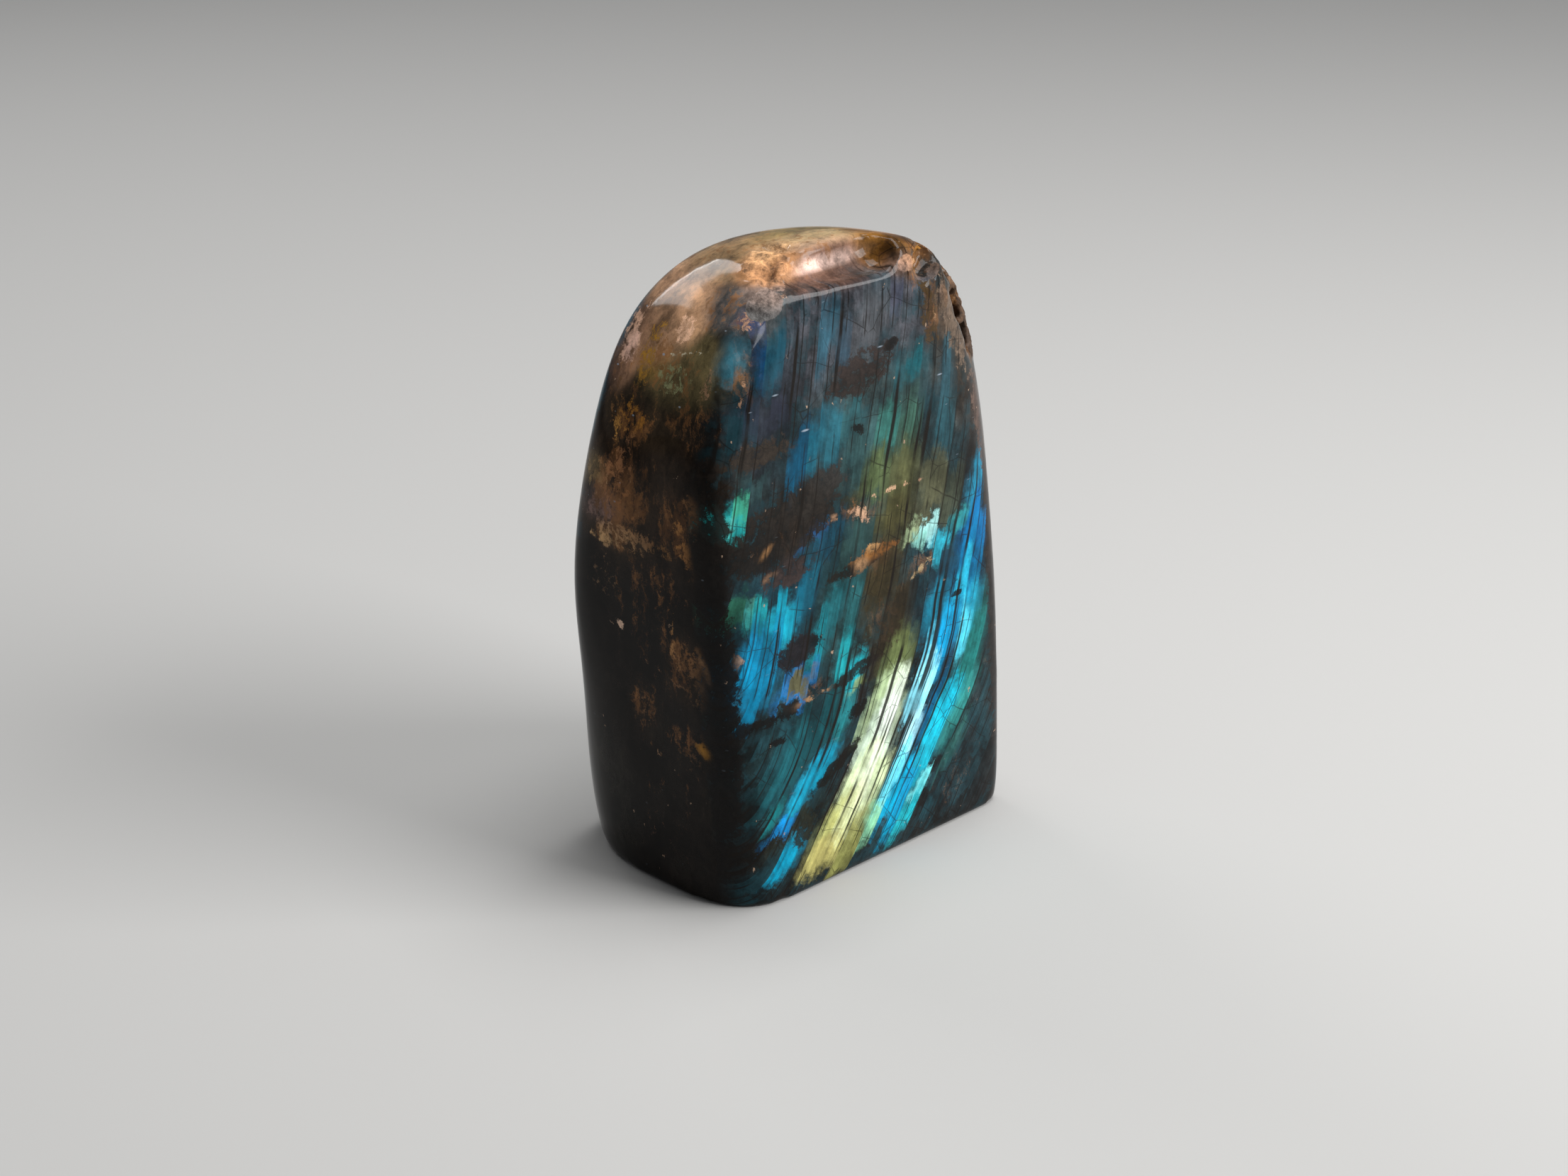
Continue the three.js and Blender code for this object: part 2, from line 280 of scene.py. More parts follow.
# Minerals held in the feldspar, seen as ragged clouds and flecks: which face they lie on, place across
# and up it in mm, half width, half height, turn in degrees, colour, strength
inclusions = [
    ("front", 0, 93, 8.5, 3.4, 10, "#2b2320", 0.75),
    ("front", -2, 90.2, 7, 2.4, 12, "#231c19", 0.7),
    ("front", 7.2, 95.4, 1.7, 0.9, 25, "#0f0c0b", 1),
    ("front", -24.5, 83, 7.5, 2.4, 6, "#2b241e", 0.9),
    ("front", -2, 82.4, 1.6, 1, -20, "#11100e", 1),
    ("front", -20, 69.5, 12, 5.4, 8, "#1d1814", 0.95),
    ("front", -27, 65.5, 7, 3.4, 0, "#171310", 0.95),
    ("front", -13, 73.5, 5.4, 3, 10, "#241f1b", 0.8),
    ("front", -20, 61, 6.4, 2.4, 10, "#2c2321", 0.8),
    ("front", -9, 76, 4.4, 2.2, 0, "#2a2826", 0.6),
    ("front", -5, 57.4, 6.5, 1.2, 4, "#17130e", 0.9),
    ("front", -19, 46.4, 5.6, 2.8, 12, "#1a1517", 1),
    ("front", -15, 47, 1.4, 0.8, 0, "#080708", 1),
    ("front", -4.6, 38.8, 6.6, 1.4, 14, "#16120f", 0.9),
    ("front", -5, 31.4, 2.6, 1.4, 18, "#0b0a09", 1),
    ("front", -27, 35.4, 8, 1.1, 2, "#0c0b0a", 0.95),
    ("front", -22, 37.2, 4, 0.9, 0, "#171310", 0.8),
    ("front", -25, 31.2, 2.3, 0.9, 0, "#0c0b0a", 0.95),
    ("front", -10.5, 22.2, 7.6, 1.25, 28, "#0e0e0b", 1),
    ("front", -18.8, 12.6, 2.4, 4.4, -32, "#1c1d15", 0.85),
    ("front", 3, 44, 3.6, 4, 0, "#2a2116", 0.6),
    ("front", 21.6, 45.6, 2, 0.7, 10, "#0b0b0b", 0.9),
    ("front", -2.6, 67.4, 2.1, 1.2, 10, "#b08c70", 0.8),
    ("front", -1.4, 65.6, 1.2, 1, 0, "#a5826a", 0.75),
    ("front", -4.8, 68.3, 1.2, 0.7, 0, "#97745c", 0.75),
    ("front", -9, 68, 1.2, 0.5, 0, "#8c6c54", 0.7),
    ("front", 1, 69.6, 1.4, 0.5, 4, "#a08268", 0.65),
    ("front", 5.2, 69.7, 1.6, 0.6, 0, "#a8886c", 0.7),
    ("front", 9, 69.8, 1.4, 0.5, -5, "#a58468", 0.65),
    ("front", 12.6, 69.6, 1, 0.4, 0, "#8c6e58", 0.6),
    ("front", -0.5, 59.6, 3.8, 1.3, 4, "#7a5026", 0.75),
    ("front", -3, 57.8, 1.5, 1.2, 0, "#927050", 0.75),
    ("front", 3.6, 59.6, 3, 1, 0, "#5f3d1e", 0.75),
    ("front", 0.2, 60.4, 1.5, 0.7, 0, "#b1895c", 0.7),
    ("front", 12, 53, 3.2, 0.7, 24, "#8f7a5a", 0.7),
    ("front", 14.6, 54, 1.2, 0.5, 0, "#a58e70", 0.65),
    ("front", -32, 48, 0.9, 1.1, 0, "#a08878", 0.7),
    ("front", -16, 37, 3.6, 0.6, 8, "#8a6a4c", 0.6),
    ("front", -25, 66, 1.5, 0.5, 35, "#7a5836", 0.75),
    ("front", -24.8, 61.4, 1.6, 0.5, 12, "#6a503c", 0.7),
    ("front", -20, 105.8, 5.4, 1.1, 24, "#8f6f5a", 0.8),
    ("front", -27, 94, 0.6, 3.4, -20, "#7c5e48", 0.6),
    ("front", 17, 99, 2.4, 7, 6, "#3a2c1a", 0.8),
    ("front", 24.2, 95, 3, 9, 18, "#5a4c40", 0.9),
    ("front", -35, 74, 2.6, 12, 0, "#1a1511", 0.95),
    ("front", 31.5, 76, 3.4, 9, 6, "#4a3a32", 0.95),
    ("front", 33.5, 45, 3.2, 36, 0, "#211d1b", 1),
    ("front", -34.6, 30, 2.6, 34, 0, "#100e0d", 1),
    ("left", 4, 86, 4.6, 2.6, 0, "#8a5c22", 0.56),
    ("left", 7.5, 83.4, 1.6, 2, 0, "#b08040", 0.5),
    ("left", 10, 88, 2.4, 4, 0, "#5a4028", 0.5),
    ("left", 8, 75, 3.6, 5, 0, "#8a5f3e", 0.52),
    ("left", 3.4, 71, 3, 7, 0, "#7a5230", 0.5),
    ("left", 5, 64.8, 7, 2, 0, "#a5805a", 0.62),
    ("left", 9, 63.6, 3, 1, 0, "#c8a070", 0.56),
    ("left", 13, 74.6, 3, 2.4, 0, "#7a6440", 0.62),
    ("left", 11, 68.6, 4, 2.2, 0, "#6c554e", 0.62),
    ("left", -2, 66, 3, 2.6, 0, "#5a3f2a", 0.42),
    ("left", -9.6, 70, 1.6, 6, -24, "#8a5f34", 0.6),
    ("left", -6.5, 65, 3, 1.6, 0, "#6f4e2c", 0.6),
    ("left", -12.6, 74, 1.6, 2.4, -24, "#6a4a2e", 0.56),
    ("left", 3, 80.6, 3, 3.4, 0, "#6a4a34", 0.46),
    ("left", -11.4, 47, 3.4, 3, 0, "#7a5636", 0.48),
    ("left", -12.6, 42, 3, 3.6, 0, "#5f452c", 0.42),
    ("left", -8.8, 51, 0.6, 4, 4, "#a07448", 0.66),
    ("left", -6, 42.4, 5, 0.7, 15, "#6f5038", 0.56),
    ("left", -16, 46, 0.6, 2.6, -24, "#8a6848", 0.6),
    ("left", 4.8, 48.6, 1, 0.9, 0, "#c9aa94", 0.8),
    ("left", -15, 30.4, 1.6, 1, 30, "#a37222", 0.62),
    ("left", -4.6, 26.4, 1.4, 0.8, 0, "#9a785a", 0.6),
    ("left", -1.4, 34, 2.6, 3.6, 0, "#5f452f", 0.42),
    ("left", -12, 29, 3, 4, 0, "#4a3422", 0.5),
    ("left", 9, 57, 5, 5, 0, "#5a4634", 0.42),
    ("left", -6, 10, 6, 5, 0, "#4a3428", 0.36),
    ("left", 12, 98.5, 2, 5, 0, "#b08c74", 0.7),
    ("left", 10, 96, 2, 2.2, 0, "#c8a290", 0.8),
    ("left", -2, 101.5, 2.6, 2, 0, "#d6ab8c", 0.8),
    ("left", 5, 96, 3, 6, 0, "#8a6424", 0.6),
    ("left", -4, 94, 5, 3, 0, "#6f7050", 0.56),
    ("left", -3, 98, 3.4, 0.4, -15, "#b8b098", 0.6),
    ("left", -8.4, 99.5, 2.4, 0.4, -15, "#b8b098", 0.6),
    ("left", -12, 94, 1, 4, 0, "#8a6a50", 0.66),
]


# where each kind of paint starts and where it is full: ovals in parts of their own reach, faces in mm
paintEdges = {
    "rust": (1.5, 0.3),
    "mineral": (1.7, 0.45),
    "frontDepth": (9, 5),
    "leftAcross": (-14, -19),
    "leftBehindFront": (-18, -15),
}


def smoothShare(value, start, end):
    # eases from 0 at start to 1 at end
    x = np.clip((value - start) / (end - start), 0, 1)
    return x * x * (3 - 2 * x)


def addPaint(stone, name, paint):
    layer = stone.data.color_attributes.new(name, "FLOAT_COLOR", "POINT")
    layer.data.foreach_set("color", paint.astype(np.float32).ravel())


# paints the body colour, with its painted reflection haze and painted highlight stripe, and the rust share in
# alpha
def paintBodyAndSheen(stone):
    places = meshPlaces(stone) / mm
    paint = np.tile(linearColour(bodyColourOfStone), (len(places), 1))
    for centre, reach, code, strength, softness in bodyAndSheenZones:
        away = np.linalg.norm((places - centre) / reach, axis=1)
        share = strength * smoothShare(away, 1 + softness * 0.5, 1 - softness * 0.5)
        paint += share[:, None] * (np.array(linearColour(code)) - paint)
    rust = np.zeros(len(places))
    for centre, reach, strength in rustZones:
        away = np.linalg.norm((places - centre) / reach, axis=1)
        rust = np.maximum(rust, strength * smoothShare(away, *paintEdges["rust"]))
    paint[:, 3] = rust
    addPaint(stone, "bodyColourAndSheen", paint)


def paintInclusions(stone):
    # colour, and in its alpha how surely the mineral is there; the material frays the rim
    places = meshPlaces(stone) / mm
    x, y, z = places.T
    behind = y - lamellae["frontAtBase"] - lamellae["frontLean"] * z
    faces = {
        "front": (x, z, smoothShare(behind, *paintEdges["frontDepth"])),
        "left": (y, z, smoothShare(x, *paintEdges["leftAcross"])
                 * smoothShare(y, *paintEdges["leftBehindFront"])),
    }
    colour = np.zeros((len(places), 3))
    cover = np.zeros(len(places))
    for face, across, up, halfWidth, halfHeight, turn, code, strength in inclusions:
        sideways, height, onFace = faces[face]
        c, s = math.cos(math.radians(turn)), math.sin(math.radians(turn))
        dx, dz = sideways - across, height - up
        away = np.hypot((c * dx + s * dz) / halfWidth, (c * dz - s * dx) / halfHeight)
        share = strength * smoothShare(away, *paintEdges["mineral"]) * onFace
        total = share + cover * (1 - share)
        mix = np.divide(share, total, out=np.zeros_like(share), where=total > 0)
        colour += mix[:, None] * (np.array(linearColour(code)[:3]) - colour)
        cover = total
    addPaint(stone, "inclusions", np.column_stack([colour, cover]))


# The lamellae: thin twin sheets in the feldspar that run through the stone and show on its front
# as slanting lines, steep above and lying over near the base
lamellae = {
    "lean": 0.28,
    "lowBend": 2.8,
    "bendHeight": 30,
    "bendSoftness": 6,
    "throughStone": 0.4,
    "frontAtBase": -24,
    "frontLean": 0.062,
    "backAtBase": 24.1,
    "backLean": 0.07,
    "wide": 5.5,
    "narrow": 2.3,
    "stepped": 0.6,
    "shardEnds": 7,
    "feather": 1.7,
    "hairline": 3.4,
    "fineLine": 1.1,
    "crackWidening": 1.2,
}
# Labradorescence: where the lamellae throw light back at the eye. Place across and up the front in mm,
# half width across the lamellae and half length along them in mm, colour, strength and how soft the end is
flashes = [
    (-27.3, 98, 2, 4, "#3f7f92", 0.9, 0.6),
    (-22.2, 96, 1.4, 4, "#103e62", 0.9, 0.8),
    (-19, 97, 1.8, 4.4, "#1a4858", 0.85, 0.7),
    (-21.8, 103.5, 1.2, 2.4, "#3c4468", 0.7, 0.9),
    (-25.5, 88, 1.8, 3.6, "#2a3242", 0.5, 0.9),
    (-19.5, 88, 2.4, 2.6, "#34384a", 0.5, 0.9),
    (-7.4, 101, 2, 6, "#376274", 0.85, 0.7),
    (-4.5, 97, 1.2, 4, "#3d5a6c", 0.8, 0.8),
    (9.3, 102.5, 1.2, 2.2, "#565a70", 0.5, 1.0),
    (3, 101, 3.4, 6, "#5c5e62", 0.8, 0.6),
    (11.4, 89, 2.8, 3, "#14646e", 0.9, 0.8),
    (7.4, 88, 1.8, 3.4, "#285860", 0.8, 0.8),
    (9, 84.6, 4, 3, "#2e4240", 0.8, 0.8),
    (19.3, 84.5, 2.2, 6.5, "#365f6c", 0.85, 0.7),
    (17.6, 75, 2.2, 7, "#2e5a64", 0.85, 0.7),
    (-16.2, 81, 1.6, 5, "#08506e", 0.95, 0.6),
    (-12.5, 83, 1.8, 4, "#12667e", 0.9, 0.7),
    (-9.2, 82, 2.6, 4.8, "#296a7a", 0.9, 0.7),
    (-3.4, 85, 3, 3, "#2f6066", 0.8, 0.7),
    (-2, 78, 4, 5, "#3c6466", 0.8, 0.7),
    (4.6, 80.5, 2.6, 4, "#3d7f76", 0.9, 0.6),
    (9.4, 78.5, 2.4, 5, "#42695a", 0.9, 0.7),
    (1.5, 72.5, 3.6, 4.4, "#5a6a44", 0.9, 0.6),
    (7.4, 70.5, 3.6, 5.5, "#606340", 0.9, 0.6),
    (5, 64, 4.5, 4.5, "#4e4b2c", 0.9, 0.6),
    (-26.6, 77, 2.6, 1.6, "#345456", 0.6, 0.9),
    (-31.6, 70.4, 2.3, 3.2, "#1c9c9c", 1, 0.5),
    (-30, 72.6, 1.5, 1.8, "#3f9c7c", 0.8, 0.8),
    (-32, 70, 0.8, 2, "#6fd0c0", 0.7, 0.9),
    (-12, 65.4, 5.4, 2.6, "#164c60", 0.9, 0.6),
    (-14.5, 66.5, 2.4, 1.6, "#2c5484", 0.8, 0.7),
    (-4.8, 62, 3.4, 4, "#2c4a48", 0.8, 0.7),
    (14.8, 66.5, 3.4, 5, "#62634a", 0.9, 0.35),
    (20, 64, 2, 5, "#4a5040", 0.8, 0.6),
    (13.4, 57.2, 3.2, 2.2, "#a9e4e0", 1, 0.3),
    (10.6, 56, 1.8, 1.8, "#8cd0c4", 0.9, 0.6),
    (8.4, 58, 2, 1.5, "#9cb088", 0.85, 0.7),
    (16.4, 55.6, 2.4, 2.8, "#2fb0c8", 1, 0.5),
    (22, 59.2, 2.8, 1.9, "#2f8f94", 0.9, 0.6),
    (27.4, 65, 2.6, 5, "#1c87a8", 0.95, 0.6),
    (26.4, 56.5, 3.8, 4.6, "#0568a0", 1, 0.5),
    (24.4, 50, 4.2, 5.6, "#066c9a", 0.95, 0.5),
    (18, 50, 3, 4, "#1a3c4c", 0.9, 0.7),
    (15.5, 44, 3.4, 5, "#177a96", 0.9, 0.6),
    (22.6, 45.5, 2.2, 4.8, "#27b2d4", 0.95, 0.5),
    (26.4, 44.5, 1.8, 5, "#22a2c0", 0.9, 0.6),
    (22, 38.5, 1.9, 4.6, "#4fcbe4", 0.95, 0.5),
    (18, 40, 2.2, 5.4, "#0f95c4", 0.95, 0.5),
    (-31, 57.4, 1.1, 2.6, "#2c6a54", 0.7, 0.8),
    (-29.6, 55.4, 0.7, 2, "#6fa67c", 0.6, 0.9),
    (-28.4, 54.6, 2.4, 3, "#1f9a9c", 0.85, 0.6),
    (-23.4, 53.4, 4.8, 4.4, "#0e90a8", 1, 0.5),
    (-28, 46, 4.2, 7.4, "#057ca4", 1, 0.5),
    (-30, 48, 1.6, 4, "#0a90be", 0.8, 0.8),
    (-17.6, 55.6, 1.8, 5.4, "#0a5c74", 0.9, 0.6),
    (-14.4, 57, 1.6, 5, "#0f5468", 0.9, 0.6),
    (-13.8, 46.5, 2, 5.2, "#15828e", 0.9, 0.6),
    (-9.8, 52.5, 2.2, 5, "#1f6a72", 0.9, 0.6),
    (-5.8, 50, 2.2, 6, "#245e62", 0.9, 0.7),
    (-8.4, 41, 2.2, 4.4, "#189098", 0.9, 0.6),
    (-5.6, 37.5, 2.2, 3.6, "#179aa6", 0.95, 0.5),
    (-6, 34.4, 1.6, 1.2, "#8a9650", 0.8, 0.7),
    (-19.6, 40.4, 4.2, 2.9, "#0a6cac", 0.95, 0.5),
    (-19.4, 40.6, 3.2, 2, "#58563e", 1, 0.5),
    (1.5, 54, 3.4, 7, "#332c1a", 0.9, 0.7),
    (4.4, 44, 3.6, 7, "#2a2214", 0.9, 0.7),
    (-14, 31, 2.2, 5.6, "#0c484e", 0.85, 0.7),
    (-22, 27, 4.2, 7, "#14525a", 0.85, 0.7),
    (-9.6, 30.5, 2.2, 4.4, "#1c7076", 0.9, 0.7),
    (-21.5, 18, 1.8, 4.2, "#0e8fae", 0.95, 0.6),
    (-15.4, 22.4, 2.8, 4, "#0888a6", 1, 0.5),
    (-23.4, 8, 2.6, 3.8, "#0488a8", 1, 0.5),
    (-25.4, 13.2, 2.2, 1.5, "#0a82c4", 0.95, 0.6),
    (-26.5, 17.5, 1.4, 3, "#128a90", 0.8, 0.7),
    (3.6, 35, 4, 5, "#59643c", 1, 0.6),
    (0.4, 27, 5.8, 6, "#b4cc9c", 1, 0.4),
    (-1.8, 21.6, 5.4, 6.6, "#cfe6cc", 1, 0.25),
    (-5.4, 14.6, 6, 7, "#cfe0b0", 1, 0.25),
    (-11, 8, 6, 5.8, "#b0b26c", 1, 0.5),
    (-16.6, 3.6, 4, 3.4, "#b9b06a", 0.95, 0.6),
    (-9.6, 3.4, 2.4, 3.4, "#8e8f50", 0.9, 0.7),
    (2, 26.4, 2.8, 5.6, "#eefaec", 0.9, 0.7),
    (-4.6, 15.5, 2.4, 5, "#e8f5d6", 0.9, 0.7),
    (-9.6, 9.6, 2, 4.4, "#dde6b0", 0.85, 0.7),
    (-1.6, 9.4, 2.4, 4.4, "#86c8a0", 0.9, 0.6),
    (13.4, 36.5, 2, 4.6, "#58c8e8", 1, 0.5),
    (16.8, 36, 2, 5.6, "#0a98cc", 1, 0.5),
    (10.9, 29.5, 3.2, 7.5, "#8ee6fa", 1, 0.2),
    (8, 21, 2.4, 6, "#aeeefe", 1, 0.25),
    (4.6, 15.6, 1.8, 5.6, "#62d2e8", 0.95, 0.35),
    (12.6, 23, 1.5, 7, "#035a80", 0.95, 0.6),
    (4.2, 9.4, 3.4, 5.4, "#029bc2", 1, 0.4),
    (8.4, 13.5, 1.6, 5, "#0a9fd0", 0.95, 0.5),
    (24.6, 34, 2.8, 10, "#1c7470", 0.9, 0.7),
    (22.6, 25, 2.2, 6, "#2f8a86", 0.85, 0.7),
    (18, 25.5, 3, 6.4, "#12b6d2", 1, 0.4),
    (14.4, 18.6, 2.2, 4.2, "#14a0b6", 1, 0.5),
    (12.6, 12.8, 1.9, 2.5, "#6ad0d6", 1, 0.4),
    (8.6, 8.4, 2.2, 3.4, "#1aa6b4", 0.9, 0.6),
    (19.6, 15, 1.8, 4, "#2a5c58", 0.7, 0.7),
]
# cracks that follow the lamellae: where each starts on the front, in mm across and up,
# the height where it ends and how wide it is
cracks = [
    (-2.7, 105.7, 88, 0.34), (-15.6, 77, 66, 0.3), (-13, 103.5, 88, 0.3), (-24, 96, 80, 0.24),
    (8.7, 91.4, 70, 0.36), (18.4, 93.6, 64, 0.36), (13.6, 84, 58, 0.3), (23.7, 69, 13, 0.4),
    (-3.4, 53, 13, 0.36), (-0.5, 76, 50, 0.26), (5.5, 60, 44, 0.28), (29, 72, 30, 0.3),
    (9.4, 50, 9, 0.4), (5, 30, 4, 0.26), (12.4, 40, 10, 0.3), (17.6, 46, 8, 0.3), (19.6, 60, 26, 0.3),
    (3.6, 34, 9, 0.2), (-1.2, 34, 6, 0.24), (-4.4, 32, 10, 0.2),
    (-0.6, 44, 16, 0.32), (14.8, 36, 12, 0.24), (21.5, 44, 8, 0.26), (24.4, 47, 9, 0.3),
    (-12.5, 62, 40, 0.28), (-9.6, 40, 12, 0.26), (-22, 58, 34, 0.22), (-17.5, 33, 6, 0.26),
]


def lamellaLine(x, z):
    # which lamella passes a place on the front, by where it would cross the base line
    bend = math.exp((lamellae["bendHeight"] - z) / lamellae["bendSoftness"])
    return x - lamellae["lean"] * z + lamellae["lowBend"] * math.log(1 + bend)


def softSpot(tree, space, centre, reach, softness, strength=1.0):
    # strength inside an oval, falling to 0 at its rim; the oval's sizes are those of the space it is drawn in
    local = addNode(tree, "VectorMath", {"operation": "MULTIPLY_ADD"}, {
        0: space, 1: [1 / r for r in reach], 2: [-c / r for c, r in zip(centre, reach)]})
    away = addNode(tree, "VectorMath", {"operation": "LENGTH"}, {0: local})
    return addNode(tree, "MapRange", {"interpolation_type": "SMOOTHSTEP"}, {
        "Value": away, "From Min": 1 + softness * 0.5, "From Max": 1 - softness * 0.5, "To Max": strength})


# Finish of the stone: sizes of its textures in mm, tones laid over its body colour, and its gloss
finish = {
    "wanderSize": 15,
    "wanderReach": 5,
    "fraySize": 2.4,
    "frayReach": 3.6,
    "swaySize": 22,
    "swayReach": 3.0,
    "mottleSize": 8,
    "threadSize": 1.9,
    "threadStretch": 0.3,
    "rustSwell": 0.42,
    "rust": "#54371f",
    "copperyRust": "#8d6038",
    "rustGlint": "#cfa278",
    "glimmerSize": 7,
    "glimmer": "#1d454e",
    "widestRim": 1.5,
    "streakSize": 0.8,
    "streakStretch": 0.05,
    "shineSize": 5,
    "shineStretch": 0.5,
    "backPatchSize": 24,
    "backBlue": "#0b6f8c",
    "backGreen": "#3f8f7c",
    "ragSize": 1.9,
    "openSize": 9,
    "netSize": (8, 12, 7),
    "crack": "#130e0a",
    "speckSpacing": 2.3,
    "speck": "#a58a74",
    "glintSpacing": (7, 3, 1.6),
    "glintTurn": math.radians(22),
    "glint": "#8f9aa6",
    "crumbSize": 1.8,
    "crumbDepth": 0.3 * mm,
    "polishedRoughness": 0.09,
    "brokenRoughness": 0.55,
    "ior": 1.5,
    "specular": 0.11,
}


def frayedPlaces(tree):
    # places on the stone in mm, as they are and pushed about so that what is drawn there gets a ragged rim
    place = addNode(tree, "TexCoord")
    inMm = addNode(tree, "VectorMath", {"operation": "SCALE"}, {0: place.outputs["Object"], "Scale": 1 / mm})
    wander = addNode(tree, "TexNoise", None, {
        "Vector": inMm, "Scale": 1 / finish["wanderSize"], "Detail": 2.0, "Roughness": 0.55})
    wanderStep = addNode(tree, "VectorMath", {"operation": "MULTIPLY_ADD"}, {
        0: wander.outputs["Color"], 1: [finish["wanderReach"]] * 3, 2: [-finish["wanderReach"] / 2] * 3})
    fray = addNode(tree, "TexNoise", None, {
        "Vector": inMm, "Scale": 1 / finish["fraySize"], "Detail": 5.0, "Roughness": 0.68})
    frayStep = addNode(tree, "VectorMath", {"operation": "MULTIPLY_ADD"}, {
        0: fray.outputs["Color"], 1: [finish["frayReach"]] * 3, 2: [-finish["frayReach"] / 2] * 3})
    ragged = addNode(tree, "VectorMath", {"operation": "ADD"}, {0: inMm, 1: frayStep})
    ragged = addNode(tree, "VectorMath", {"operation": "ADD"}, {0: ragged, 1: wanderStep})
    return {"inMm": inMm, "wanderStep": wanderStep, "fray": fray, "frayStep": frayStep, "ragged": ragged}


def placeAcrossLamellae(tree, space):
    # the same sum as lamellaLine, carried on into the stone, with a slow sway
    axes = addNode(tree, "SeparateXYZ", None, {0: space["inMm"]})
    fromFront = addNode(tree, "Math", {"operation": "MULTIPLY_ADD"}, {
        0: axes.outputs["Z"], 1: -lamellae["frontLean"], 2: -lamellae["frontAtBase"]})
    depth = addNode(tree, "Math", {"operation": "ADD"}, {0: axes.outputs["Y"], 1: fromFront})
    belowBend = addNode(tree, "Math", {"operation": "SUBTRACT"}, {
        0: lamellae["bendHeight"], 1: axes.outputs["Z"]})
    belowBend = addNode(tree, "Math", {"operation": "DIVIDE"}, {0: belowBend, 1: lamellae["bendSoftness"]})
    bend = addNode(tree, "Math", {"operation": "EXPONENT"}, {0: belowBend})
    bend = addNode(tree, "Math", {"operation": "ADD"}, {0: bend, 1: 1.0})
    bend = addNode(tree, "Math", {"operation": "LOGARITHM"}, {0: bend, 1: math.e})
    across = addNode(tree, "Math", {"operation": "MULTIPLY_ADD"}, {
        0: bend, 1: lamellae["lowBend"], 2: axes.outputs["X"]})
    across = addNode(tree, "Math", {"operation": "MULTIPLY_ADD"}, {
        0: axes.outputs["Z"], 1: -lamellae["lean"], 2: across})
    across = addNode(tree, "Math", {"operation": "MULTIPLY_ADD"}, {
        0: depth, 1: lamellae["throughStone"], 2: across})
    sway = addNode(tree, "TexNoise", None, {
        "Vector": space["inMm"], "Scale": 1 / finish["swaySize"], "Detail": 3.0, "Roughness": 0.45})
    across = addNode(tree, "Math", {"operation": "MULTIPLY_ADD"}, {0: sway, 1: finish["swayReach"], 2: across})
    across = addNode(tree, "Math", {"operation": "SUBTRACT"}, {0: across, 1: finish["swayReach"] / 2})
    space.update(axes=axes, depth=depth, across=across)


def lamellaSpaces(tree, space):
    # each lamella is a cell across the grain, with its own random tone and its own ends
    across, height = space["across"], space["axes"].outputs["Z"]
    wide = addNode(tree, "TexVoronoi", {"voronoi_dimensions": "1D"}, {
        "W": across, "Scale": 1 / lamellae["wide"], "Randomness": 1.0})
    narrow = addNode(tree, "TexVoronoi", {"voronoi_dimensions": "1D"}, {
        "W": across, "Scale": 1 / lamellae["narrow"], "Randomness": 1.0})
    wideTone = addNode(tree, "SeparateColor", None, {0: wide.outputs["Color"]})
    narrowTone = addNode(tree, "SeparateColor", None, {0: narrow.outputs["Color"]})
    ends = addNode(tree, "Math", {"operation": "ADD"}, {0: wideTone.outputs[0], 1: narrowTone.outputs[0]})
    ends = addNode(tree, "Math", {"operation": "MULTIPLY_ADD"}, {
        0: ends, 1: lamellae["shardEnds"] / 2, 2: height})
    ends = addNode(tree, "Math", {"operation": "SUBTRACT"}, {0: ends, 1: lamellae["shardEnds"] / 2})
    stepped = addNode(tree, "Mix", {"data_type": "FLOAT"}, {
        0: lamellae["stepped"], 2: across, 3: narrow.outputs["W"]})
    grain = addNode(tree, "CombineXYZ", None, {"X": stepped, "Y": 0.0, "Z": ends})
    drift = addNode(tree, "VectorMath", {"operation": "MULTIPLY"}, {0: space["frayStep"], 1: (0.5, 0, 2.4)})
    grain = addNode(tree, "VectorMath", {"operation": "ADD"}, {0: grain, 1: drift})
    lines = addNode(tree, "CombineXYZ", None, {"X": across, "Y": 0.0, "Z": height})
    space.update(wideTone=wideTone, grain=grain, lines=lines)


